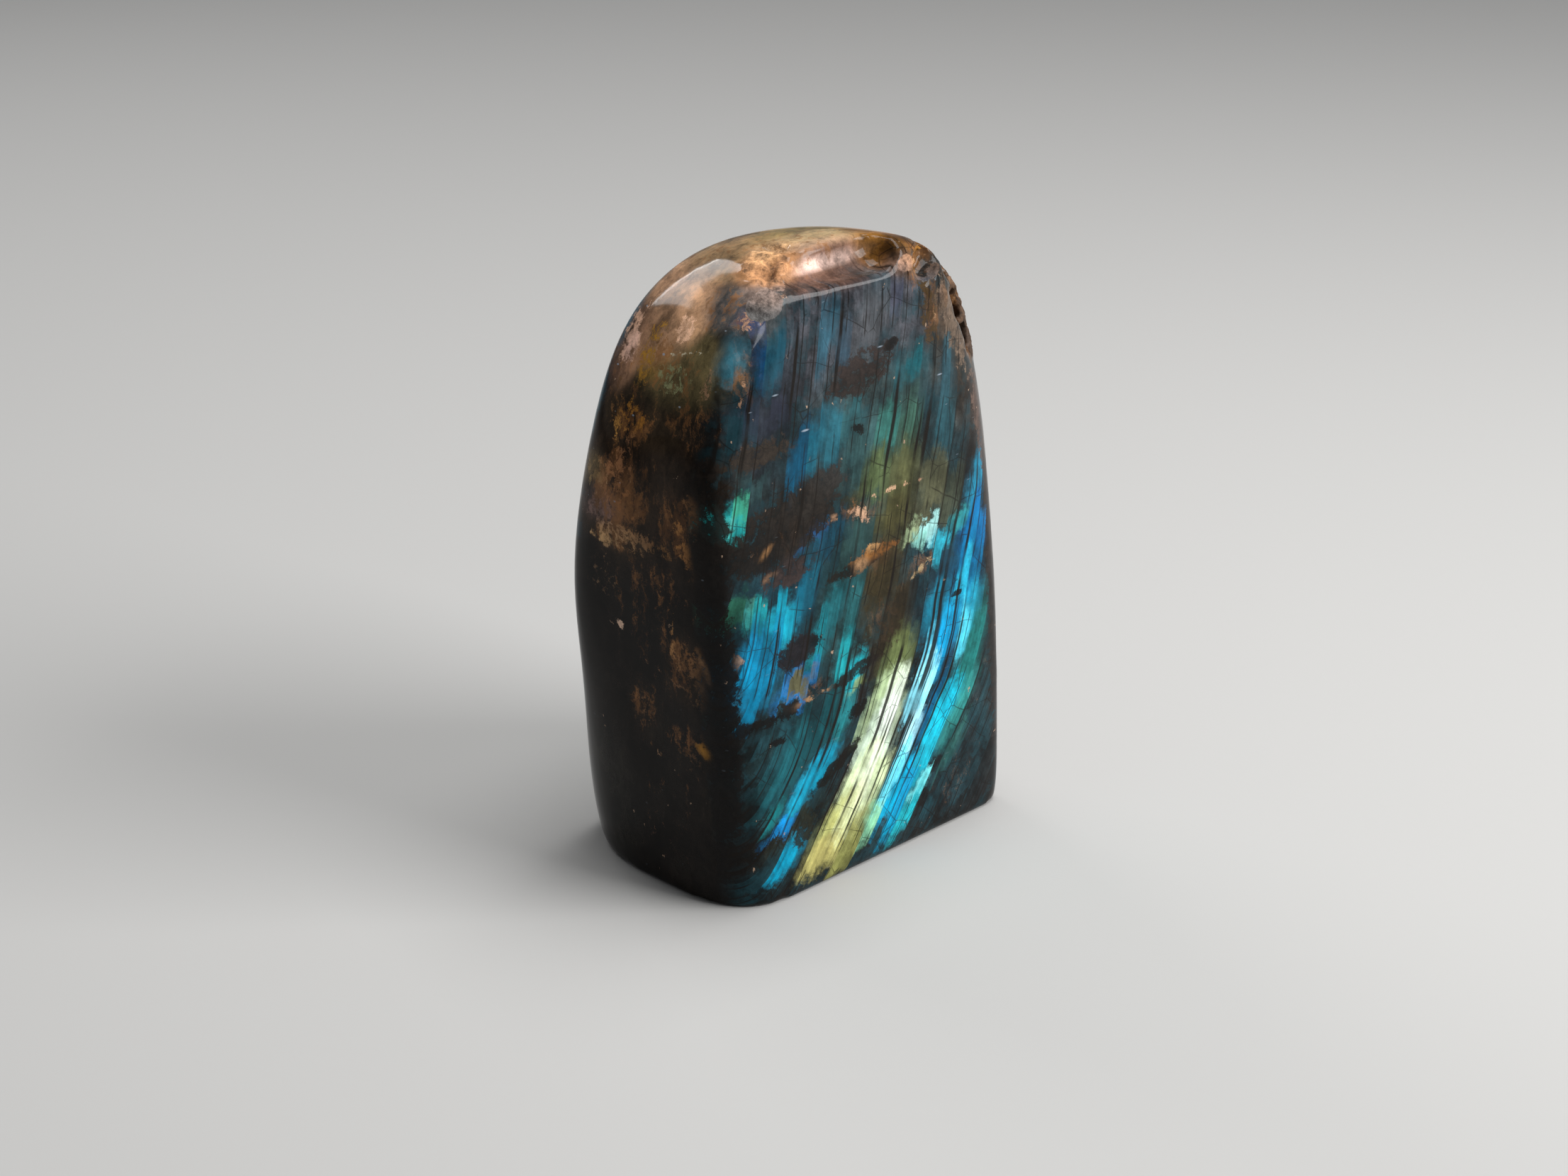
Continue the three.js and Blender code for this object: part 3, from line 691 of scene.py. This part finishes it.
def bodyLayer(tree, space):
    # dark translucent feldspar, cloudy inside and threaded with rusty mineral
    mottle = addNode(tree, "TexNoise", None, {
        "Vector": space["ragged"], "Scale": 1 / finish["mottleSize"], "Detail": 6.0, "Roughness": 0.68})
    # the painted body colour, with its painted reflection haze on the upper front and painted highlight stripe in
    # the groove
    zones = addNode(tree, "VertexColor", {"layer_name": "bodyColourAndSheen"})
    colour = addNode(tree, "Mix", {"data_type": "RGBA", "blend_type": "MULTIPLY"}, {
        0: 1.0, 6: zones, 7: addNode(tree, "MapRange", None, {0: mottle, 1: 0.34, 2: 0.68, 3: 0.35, 4: 1.55})})
    thread = addNode(tree, "TexNoise", None, {"Vector": addNode(tree, "VectorMath", {"operation": "MULTIPLY"}, {
        0: space["ragged"], 1: (1, 1, finish["threadStretch"])}),
        "Scale": 1 / finish["threadSize"], "Detail": 7.0, "Roughness": 0.74})
    colour = addNode(tree, "Mix", {"data_type": "RGBA", "blend_type": "MULTIPLY"}, {
        0: 1.0, 6: colour, 7: addNode(tree, "MapRange", None, {0: thread, 1: 0.36, 2: 0.64, 3: 0.6, 4: 1.4})})
    rusty = addNode(tree, "Math", {"operation": "MULTIPLY_ADD"}, {
        0: zones.outputs["Alpha"], 1: finish["rustSwell"], 2: thread})
    rustColour = addNode(tree, "Mix", {"data_type": "RGBA"}, {
        0: addNode(tree, "MapRange", None, {0: mottle, 1: 0.4, 2: 0.6}),
        6: linearColour(finish["rust"]), 7: linearColour(finish["copperyRust"])})
    colour = addNode(tree, "Mix", {"data_type": "RGBA"}, {
        0: addNode(tree, "MapRange", {"interpolation_type": "SMOOTHSTEP"}, {
            0: rusty, 1: 0.66, 2: 0.8, 4: 0.8}), 6: colour, 7: rustColour})
    colour = addNode(tree, "Mix", {"data_type": "RGBA"}, {
        0: addNode(tree, "MapRange", {"interpolation_type": "SMOOTHSTEP"}, {
            0: rusty, 1: 0.87, 2: 0.94, 4: 0.9}), 6: colour, 7: linearColour(finish["rustGlint"])})
    space.update(zones=zones)
    return colour


def flashColour(tree, space, colour):
    # the flash, lamella by lamella, over a faint teal glimmer
    glimmer = addNode(tree, "TexNoise", None, {
        "Vector": space["grain"], "Scale": 1 / finish["glimmerSize"], "Detail": 3.0, "Roughness": 0.6})
    glimmerShare = addNode(tree, "MapRange", {"interpolation_type": "SMOOTHSTEP"}, {
        0: glimmer, 1: 0.42, 2: 0.68, 4: 0.6})
    flash = addNode(tree, "Mix", {"data_type": "RGBA"}, {
        0: glimmerShare, 6: colour, 7: linearColour(finish["glimmer"])})
    for x, z, halfWidth, halfLength, code, strength, softness in flashes:
        feather = min(softness * lamellae["feather"], finish["widestRim"])
        spot = softSpot(tree, space["grain"], (lamellaLine(x, z), 0, z), (halfWidth, 1, halfLength),
                        feather, strength)
        flash = addNode(tree, "Mix", {"data_type": "RGBA"}, {0: spot, 6: flash, 7: linearColour(code)})
    space.update(glimmer=glimmer)
    return flash


def flashBrightness(tree, space):
    # streaks along the sheets, whole sheets brighter or duller, cloudy grit, and more light low on the stone
    streak = addNode(tree, "TexNoise", None, {"Vector": addNode(tree, "VectorMath", {"operation": "MULTIPLY"}, {
        0: space["lines"], 1: (1, 1, finish["streakStretch"])}),
        "Scale": 1 / finish["streakSize"], "Detail": 3.0, "Roughness": 0.6})
    bright = addNode(tree, "Math", {"operation": "MULTIPLY"}, {
        0: addNode(tree, "MapRange", None, {0: streak, 1: 0.34, 2: 0.66, 3: 0.8, 4: 1.16}), 1: addNode(tree,
        "MapRange", None, {0: space["wideTone"].outputs[1], 1: 0, 2: 1, 3: 0.78, 4: 1.1})})
    shine = addNode(tree, "TexNoise", None, {"Vector": addNode(tree, "VectorMath", {"operation": "MULTIPLY"}, {
        0: space["ragged"], 1: (1, 1, finish["shineStretch"])}),
        "Scale": 1 / finish["shineSize"], "Detail": 5.0, "Roughness": 0.62})
    bright = addNode(tree, "Math", {"operation": "MULTIPLY"}, {
        0: bright, 1: addNode(tree, "MapRange", None, {0: shine, 1: 0.34, 2: 0.62, 3: 0.5, 4: 1.2})})
    bright = addNode(tree, "Math", {"operation": "MULTIPLY"}, {
        0: bright, 1: addNode(tree, "MapRange", None, {0: space["fray"], 1: 0.34, 2: 0.6, 3: 0.8, 4: 1.08})})
    return addNode(tree, "Math", {"operation": "MULTIPLY"}, {
        0: bright, 1: addNode(tree, "MapRange", None, {
            0: space["axes"].outputs["Z"], 1: 30, 2: 85, 3: 1.2, 4: 0.78})})


def findFaces(tree, space):
    # where the skin is broken, and where it is polished and on the front
    broken = addNode(tree, "Attribute", {"attribute_name": "broken"})
    frayed = addNode(tree, "Math", {"operation": "MULTIPLY_ADD"}, {
        0: space["fray"], 1: 1.4, 2: broken.outputs["Fac"]})
    isBroken = addNode(tree, "MapRange", {"interpolation_type": "SMOOTHSTEP"}, {0: frayed, 1: 1.0, 2: 1.2})
    onFront = addNode(tree, "Math", {"operation": "MULTIPLY"}, {
        0: addNode(tree, "MapRange", {"interpolation_type": "SMOOTHSTEP"}, {
            0: space["depth"], 1: 7.5, 2: 3.0}),
        1: addNode(tree, "Math", {"operation": "SUBTRACT"}, {0: 1.0, 1: isBroken})})
    space.update(isBroken=isBroken, onFront=onFront)


def backLayer(tree, space, colour):
    # the back isn't in the photograph: the same sheets throw back a few quieter patches there
    behind = addNode(tree, "Math", {"operation": "MULTIPLY_ADD"}, {
        0: space["axes"].outputs["Z"], 1: lamellae["backLean"], 2: space["axes"].outputs["Y"]})
    patch = addNode(tree, "TexNoise", None, {
        "Vector": space["grain"], "Scale": 1 / finish["backPatchSize"], "Detail": 2.0, "Roughness": 0.5})
    patch = addNode(tree, "Math", {"operation": "MULTIPLY_ADD"}, {0: patch, 1: 1.5, 2: space["glimmer"]})
    onBack = addNode(tree, "Math", {"operation": "MULTIPLY"}, {
        0: addNode(tree, "MapRange", None, {
            0: behind, 1: lamellae["backAtBase"] - 5, 2: lamellae["backAtBase"] - 1.5}),
        1: addNode(tree, "MapRange", {"interpolation_type": "SMOOTHSTEP"}, {
            0: patch, 1: 1.28, 2: 1.46, 4: 0.9})})
    backColour = addNode(tree, "Mix", {"data_type": "RGBA"}, {
        0: space["wideTone"].outputs[2],
        6: linearColour(finish["backBlue"]), 7: linearColour(finish["backGreen"])})
    backColour = addNode(tree, "Mix", {"data_type": "RGBA", "blend_type": "MULTIPLY"}, {
        0: 1.0, 6: backColour, 7: space["bright"]})
    return addNode(tree, "Mix", {"data_type": "RGBA"}, {0: onBack, 6: colour, 7: backColour})


def mineralLayer(tree, space, colour):
    # dark and rusty minerals, ragged at their rims
    minerals = addNode(tree, "VertexColor", {"layer_name": "inclusions"})
    rag = addNode(tree, "TexNoise", None, {
        "Vector": space["ragged"], "Scale": 1 / finish["ragSize"], "Detail": 6.0, "Roughness": 0.75})
    frayed = addNode(tree, "Math", {"operation": "MULTIPLY_ADD"}, {0: rag, 1: 2.6, 2: minerals.outputs["Alpha"]})
    share = addNode(tree, "MapRange", {"interpolation_type": "SMOOTHSTEP"}, {
        0: frayed, 1: 1.84, 2: 2.08, 4: 0.94})
    tone = addNode(tree, "Mix", {"data_type": "RGBA", "blend_type": "MULTIPLY"}, {
        0: 1.0, 6: minerals, 7: addNode(tree, "MapRange", None, {0: rag, 1: 0.36, 2: 0.62, 3: 0.35, 4: 1.5})})
    return addNode(tree, "Mix", {"data_type": "RGBA"}, {0: share, 6: colour, 7: tone})


def crackLayer(tree, space, colour):
    # listed cracks, hairlines along the sheets and a net across them, open and closed by turns
    openShare = addNode(tree, "TexNoise", None, {
        "Vector": space["inMm"], "Scale": 1 / finish["openSize"], "Detail": 2.0, "Roughness": 0.5})
    share = None
    for x, z, end, width in cracks:
        reach = (width * lamellae["crackWidening"], 1, (z - end) / 2)
        line = softSpot(tree, space["lines"], (lamellaLine(x, z), 0, (z + end) / 2), reach, 0.8)
        share = line if share is None else addNode(tree, "Math", {"operation": "MAXIMUM"}, {0: share, 1: line})
    share = addNode(tree, "Math", {"operation": "MULTIPLY"}, {
        0: share, 1: addNode(tree, "MapRange", {"interpolation_type": "SMOOTHSTEP"}, {
            0: openShare, 1: 0.34, 2: 0.5, 3: 0.4, 4: 0.95})})
    for spacing, width, low, high, most in (
        (lamellae["hairline"], 0.06, 0.42, 0.52, 0.8),
        (lamellae["fineLine"], 0.13, 0.52, 0.62, 0.4),
    ):
        hair = addNode(tree, "TexVoronoi", {"voronoi_dimensions": "1D", "feature": "DISTANCE_TO_EDGE"}, {
            "W": space["across"], "Scale": 1 / spacing, "Randomness": 1.0})
        hairLine = addNode(tree, "Math", {"operation": "MULTIPLY"}, {
            0: addNode(tree, "MapRange", {"interpolation_type": "SMOOTHSTEP"}, {
                0: hair, 1: width, 2: width * 0.3}),
            1: addNode(tree, "MapRange", {"interpolation_type": "SMOOTHSTEP"}, {
                0: openShare, 1: low, 2: high, 4: most})})
        share = addNode(tree, "Math", {"operation": "MAXIMUM"}, {0: share, 1: hairLine})
    net = addNode(tree, "TexVoronoi", {"voronoi_dimensions": "3D", "feature": "DISTANCE_TO_EDGE"}, {
        "Vector": addNode(tree, "VectorMath", {"operation": "MULTIPLY"}, {
            0: addNode(tree, "VectorMath", {"operation": "ADD"}, {0: space["inMm"], 1: space["wanderStep"]}),
            1: [1 / size for size in finish["netSize"]]}), "Scale": 1.0, "Randomness": 1.0})
    netLine = addNode(tree, "Math", {"operation": "MULTIPLY"}, {
        0: addNode(tree, "MapRange", {"interpolation_type": "SMOOTHSTEP"}, {0: net, 1: 0.017, 2: 0.004}),
        1: addNode(tree, "MapRange", {"interpolation_type": "SMOOTHSTEP"}, {
            0: openShare, 1: 0.45, 2: 0.54, 4: 0.62})})
    share = addNode(tree, "Math", {"operation": "MAXIMUM"}, {0: share, 1: netLine})
    share = addNode(tree, "Math", {"operation": "MULTIPLY"}, {0: share, 1: space["onFront"]})
    return addNode(tree, "Mix", {"data_type": "RGBA"}, {0: share, 6: colour, 7: linearColour(finish["crack"])})


def speckLayer(tree, space, colour):
    # small pale crystals scattered all over
    speck = addNode(tree, "TexVoronoi", {"voronoi_dimensions": "3D"}, {
        "Vector": space["ragged"], "Scale": 1 / finish["speckSpacing"], "Randomness": 1.0})
    tone = addNode(tree, "SeparateColor", None, {0: speck.outputs["Color"]})
    size = addNode(tree, "MapRange", None, {0: tone.outputs[0], 1: 0.6, 2: 1.0, 4: 0.15})
    share = addNode(tree, "MapRange", {"interpolation_type": "SMOOTHSTEP"}, {
        0: addNode(tree, "Math", {"operation": "SUBTRACT"}, {
            0: size, 1: speck.outputs["Distance"]}), 1: 0, 2: 0.08, 4: 0.8})
    return addNode(tree, "Mix", {"data_type": "RGBA"}, {0: share, 6: colour, 7: linearColour(finish["speck"])})


def glintLayer(tree, space, colour):
    # slanting flecks that catch the light, mostly high on the stone
    slant = addNode(tree, "Mapping", {"vector_type": "POINT"}, {
        "Vector": space["inMm"], "Rotation": (0, finish["glintTurn"], 0),
        "Scale": [1 / size for size in finish["glintSpacing"]]})
    glint = addNode(tree, "TexVoronoi", {"voronoi_dimensions": "3D"}, {
        "Vector": slant, "Scale": 1.0, "Randomness": 1.0})
    tone = addNode(tree, "SeparateColor", None, {0: glint.outputs["Color"]})
    size = addNode(tree, "MapRange", None, {0: tone.outputs[0], 1: 0.55, 2: 1.0, 4: 0.17})
    share = addNode(tree, "MapRange", {"interpolation_type": "SMOOTHSTEP"}, {
        0: addNode(tree, "Math", {"operation": "SUBTRACT"}, {
            0: size, 1: glint.outputs["Distance"]}), 1: 0, 2: 0.1, 4: 0.75})
    share = addNode(tree, "Math", {"operation": "MULTIPLY"}, {
        0: share, 1: addNode(tree, "MapRange", None, {0: space["axes"].outputs["Z"], 1: 55, 2: 80, 3: 0.12})})
    return addNode(tree, "Mix", {"data_type": "RGBA"}, {0: share, 6: colour, 7: linearColour(finish["glint"])})


def makeLabradorite():
    # plagioclase feldspar, ground and polished: glassy and dark, with blue and gold light from thin sheets inside
    material = bpy.data.materials.new("polishedLabradorite")
    material.use_nodes = True
    tree = material.node_tree
    tree.nodes.clear()
    space = frayedPlaces(tree)
    placeAcrossLamellae(tree, space)
    lamellaSpaces(tree, space)
    colour = bodyLayer(tree, space)
    flash = flashColour(tree, space, colour)
    bright = flashBrightness(tree, space)
    space.update(bright=bright)
    flash = addNode(tree, "Mix", {"data_type": "RGBA", "blend_type": "MULTIPLY"}, {0: 1.0, 6: flash, 7: bright})
    findFaces(tree, space)
    colour = addNode(tree, "Mix", {"data_type": "RGBA"}, {0: space["onFront"], 6: colour, 7: flash})
    for layer in (backLayer, mineralLayer, crackLayer, speckLayer, glintLayer):
        colour = layer(tree, space, colour)

    # broken places: bare feldspar steps, orange in the hollows and nearly white on the edges
    crumb = addNode(tree, "TexNoise", None, {
        "Vector": space["inMm"], "Scale": 1 / finish["crumbSize"], "Detail": 5.0, "Roughness": 0.7})
    bare = addNode(tree, "Mix", {"data_type": "RGBA", "blend_type": "MULTIPLY"}, {
        0: 1.0, 6: space["zones"],
        7: addNode(tree, "MapRange", None, {0: crumb, 1: 0.36, 2: 0.64, 3: 0.3, 4: 1.7})})
    colour = addNode(tree, "Mix", {"data_type": "RGBA"}, {0: space["isBroken"], 6: colour, 7: bare})
    roughness = addNode(tree, "MapRange", None, {
        0: space["isBroken"], 1: 0, 2: 1, 3: finish["polishedRoughness"], 4: finish["brokenRoughness"]})
    bump = addNode(tree, "Bump", None, {
        "Strength": space["isBroken"], "Distance": finish["crumbDepth"], "Height": crumb})
    surface = addNode(tree, "BsdfPrincipled", None, {
        "Base Color": colour, "Roughness": roughness, "IOR": finish["ior"],
        "Specular IOR Level": finish["specular"], "Normal": bump})
    addNode(tree, "OutputMaterial", None, {"Surface": surface})
    return material


# The studio: a plain pale floor, a window-like softbox behind with a brighter bar along its rim,
# one overhead and a wide soft one in front
studio = {
    "floorSize": 8.0,
    "floorColour": "#a9a8a6",
    "worldColour": "#9b9da0",
    "worldStrength": 0.55,
    "lampTarget": (0, 0, 0.06),
}
softboxes = [
    # name, azimuth and height seen from the stone in degrees, distance, width, height, lean in degrees, watts
    ("windowSoftbox", 85, 35, 0.95, 0.5, 0.13, -20, 1.5),
    ("windowTopBar", 83, 30.4, 0.95, 0.46, 0.01, -20, 0.5),
    ("topSoftbox", -10, 78, 0.7, 0.4, 0.4, 0, 4.6),
    ("frontSoftbox", -62, 30, 1.0, 0.6, 0.5, 0, 13.5),
]
camera = {
    "lens": 70,
    "sensor": 36,
    "target": (-0.006, -0.0057, 0.0496),
    "distance": 0.545,
    "azimuth": -45,
    "elevation": 22.5,
}


def makeStudio():
    bpy.ops.mesh.primitive_plane_add(size=studio["floorSize"], location=(0, 0, 0))
    floor = bpy.context.view_layer.objects.active
    floor.name = "paleFloor"
    paint = bpy.data.materials.new("palePaper")
    paint.use_nodes = True
    base = paint.node_tree.nodes["Principled BSDF"]
    base.inputs["Base Color"].default_value = linearColour(studio["floorColour"])
    base.inputs["Roughness"].default_value = 0.8
    floor.data.materials.append(paint)
    world = bpy.data.worlds.new("softStudio")
    world.use_nodes = True
    world.node_tree.nodes["Background"].inputs["Color"].default_value = linearColour(studio["worldColour"])
    world.node_tree.nodes["Background"].inputs["Strength"].default_value = studio["worldStrength"]
    bpy.context.scene.world = world
    middle = Vector(studio["lampTarget"])
    for name, azimuth, height, distance, width, tall, lean, power in softboxes:
        a, e = math.radians(azimuth), math.radians(height)
        place = middle + distance * Vector((math.cos(a) * math.cos(e), math.sin(a) * math.cos(e), math.sin(e)))
        bpy.ops.object.light_add(type="AREA", location=place)
        lamp = bpy.context.view_layer.objects.active
        lamp.name = name
        facing = (place - middle).to_track_quat("Z", "Y") @ Quaternion((0, 0, 1), math.radians(lean))
        lamp.rotation_euler = facing.to_euler()
        lamp.data.shape = "RECTANGLE"
        lamp.data.size = width
        lamp.data.size_y = tall
        lamp.data.energy = power


def makeCamera():
    a, e = math.radians(camera["azimuth"]), math.radians(camera["elevation"])
    target = Vector(camera["target"])
    away = Vector((math.sin(a) * math.cos(e), -math.cos(a) * math.cos(e), math.sin(e)))
    bpy.ops.object.camera_add(location=target + camera["distance"] * away)
    view = bpy.context.view_layer.objects.active
    view.name = "photoView"
    view.rotation_euler = away.to_track_quat("Z", "Y").to_euler()
    view.data.lens = camera["lens"]
    view.data.sensor_width = camera["sensor"]
    view.data.clip_start = 0.01
    bpy.context.scene.camera = view


stone = makeStoneShape()
finishStoneShape(stone)
paintBodyAndSheen(stone)
paintInclusions(stone)
stone.data.materials.append(makeLabradorite())
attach(stone, "root")
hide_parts("labradorite_stone")
print("stone: shape and finish ready")
makeStudio()
makeCamera()
bpy.context.scene.view_settings.view_transform = "Standard"
print("studio: floor, lights and camera ready")
